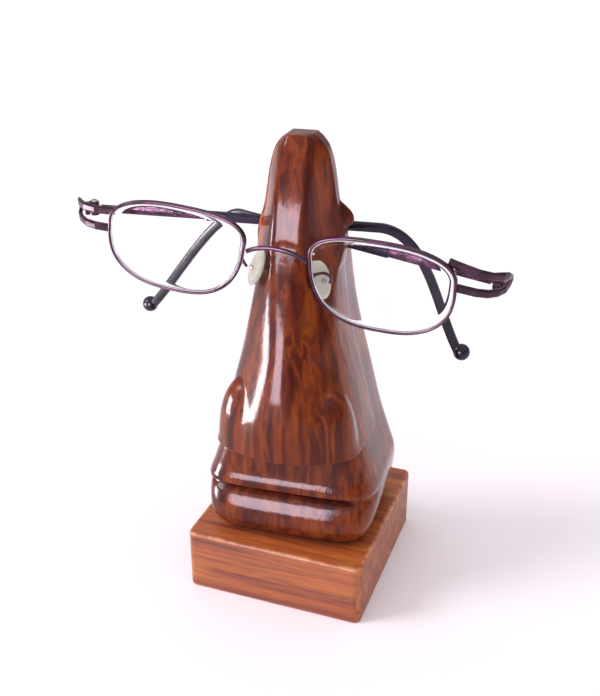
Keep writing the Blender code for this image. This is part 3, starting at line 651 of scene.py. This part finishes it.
# %% Temple sleeves
def temple_path(name):
    """Centre line of a sleeve in the temple's own space: straight, then down behind the ear."""
    bend, tip_x, tip_z, lead, end_x, end_z = HINGES[name][3:]
    start = HINGE_CLEAR + (bend - HINGE_CLEAR) * SLEEVE_FROM + 0.3
    straight = [Vector((start + (bend - start) * i / 20, 0, 0)) * MM for i in range(21)]
    tip = Vector((tip_x, 0, tip_z)) * MM
    curve = bezier(straight[-1], straight[-1] + Vector((lead, 0, 0)) * MM,
                   tip + Vector((end_x, 0, end_z)) * MM, tip, 60)
    return straight + curve[1:]


BALL = 3.06 * MM
for name in HINGES:
    path = temple_path(name)
    sleeve = wire_mesh(path, 2.1 * MM, 3.4 * MM, 0.85 * MM, acetate)
    down = (path[-1] - path[-2]).normalized()
    work = bmesh.new()
    bmesh.ops.create_uvsphere(work, u_segments=32, v_segments=20, radius=BALL)
    bmesh.ops.translate(work, vec=path[-1] + down * 0.4 * MM + Vector((1.2 * MM, 0, 0)), verts=work.verts)
    ball = bpy.data.meshes.new("ball")
    work.to_mesh(ball)
    work.free()
    body = bpy.data.objects.new("sleeve", sleeve)
    tip = bpy.data.objects.new("tip", ball)
    for obj in (body, tip):
        bpy.context.scene.collection.objects.link(obj)
    union = body.modifiers.new("ball", "BOOLEAN")
    union.operation, union.solver, union.object = "UNION", "EXACT", tip
    joined = bpy.data.meshes.new_from_object(body.evaluated_get(bpy.context.evaluated_depsgraph_get()))
    for obj in (body, tip):
        bpy.data.objects.remove(obj)
    smooth_object(f"{name}_ear_sleeve", placed(joined, temple_space(name)), acetate, f"{name}_temple",
                  "black_sleeve", f"{name}_temple_sleeve")
    print(name, "sleeve", len(joined.polygons), "faces")

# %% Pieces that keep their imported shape
for name in ("left", "right"):
    dress(plum_wire, f"{name}_temple_bar", f"{name}_end_piece", f"{name}_hinge_leaf", f"{name}_pad_arm")
    dress(nickel, f"{name}_hinge_screw", f"{name}_pad_screw")
    dress(silicone, f"{name}_nose_pad")
dress(zinc, "fixing_screw_front", "fixing_screw_rear")
print("kept nodes dressed")

# %% [markdown]
# ## Floor, light and camera
#
# The object stands on a pale table in a white room.  A window high at the front left
# throws the soft shadow to the right.  Two small panels are seen only in reflections: the
# flank of the nose mirrors one as its long white highlight, and the lower lip the other.

# %% Stage
# White paper: pale enough to leave the shadow soft, with a little violet in it
floor_mesh = bpy.data.meshes.new("floor")
FAR = 6.0
corners = [(-FAR, -FAR, 0), (FAR, -FAR, 0), (FAR, FAR, 0), (-FAR, FAR, 0)]
floor_mesh.from_pydata(corners, [], [(0, 1, 2, 3)])
floor = bpy.data.objects.new("floor", floor_mesh)
bpy.context.scene.collection.objects.link(floor)
paper, tree, shader = material("white paper", Roughness=0.9)
shader.inputs["Base Color"].default_value = colour("#f7f3f8")
floor_mesh.materials.append(paper)

world = bpy.data.worlds.new("white room")
world.use_nodes = True
sky = world.node_tree.nodes["Background"]
sky.inputs["Color"].default_value = colour("#fdf8f8")
sky.inputs["Strength"].default_value = 0.42
bpy.context.scene.world = world


def softbox(name, place, target, width, height, watts, tint):
    """A lit panel that faces a target."""
    lamp = bpy.data.lights.new(name, "AREA")
    lamp.shape = "RECTANGLE"
    lamp.size, lamp.size_y = width, height
    lamp.energy = watts
    lamp.color = colour(tint)[:3]
    obj = bpy.data.objects.new(name, lamp)
    obj.location = place
    obj.rotation_euler = (Vector(target) - Vector(place)).to_track_quat("-Z", "Y").to_euler()
    bpy.context.scene.collection.objects.link(obj)
    return obj


def sun(name, towards, strength, angle, tint):
    """Light from far away that travels along a direction; a wide angle softens its shadows."""
    lamp = bpy.data.lights.new(name, "SUN")
    lamp.energy = strength
    lamp.angle = math.radians(angle)
    lamp.color = colour(tint)[:3]
    obj = bpy.data.objects.new(name, lamp)
    obj.rotation_euler = Vector(towards).to_track_quat("-Z", "Y").to_euler()
    bpy.context.scene.collection.objects.link(obj)


# %% Lights
sun("window light", (0.80, 0.45, -0.75), 1.6, 22, "#fff8fb")
sun("ceiling light", (0.1, 0.1, -1.0), 1.6, 120, "#fffaff")
flank = softbox("flank", (-0.288, -0.133, 0.066), (-0.006, -0.03, 0.075), 0.10, 0.11, 1.5, "#fff8ff")
lip_light = softbox("lip light", (-0.048, -0.222, 0.119), (-0.003, -0.026, 0.036), 0.11, 0.11, 1.0,
                    "#fbecff")
for glint in (flank, lip_light):
    glint.visible_diffuse = False
print("lights", [lamp.name for lamp in bpy.data.lights])

# %% Camera
lens = bpy.data.cameras.new("camera")
lens.lens = 50
lens.sensor_width = 36
lens.clip_start = 0.01
camera = bpy.data.objects.new("camera", lens)
camera.location = (0.1024, -0.2840, 0.2275)
aim = Vector((-0.00153, -0.00056, 0.0851)) - camera.location
camera.rotation_euler = aim.to_track_quat("-Z", "Y").to_euler()
bpy.context.scene.collection.objects.link(camera)
bpy.context.scene.camera = camera
bpy.context.scene.view_settings.view_transform = "Standard"
print("camera", [round(c, 3) for c in camera.location])

# %% [markdown]
# ## Finish
#
# The view layer is brought up to date at the end.

# %% Finish
bpy.context.view_layer.update()
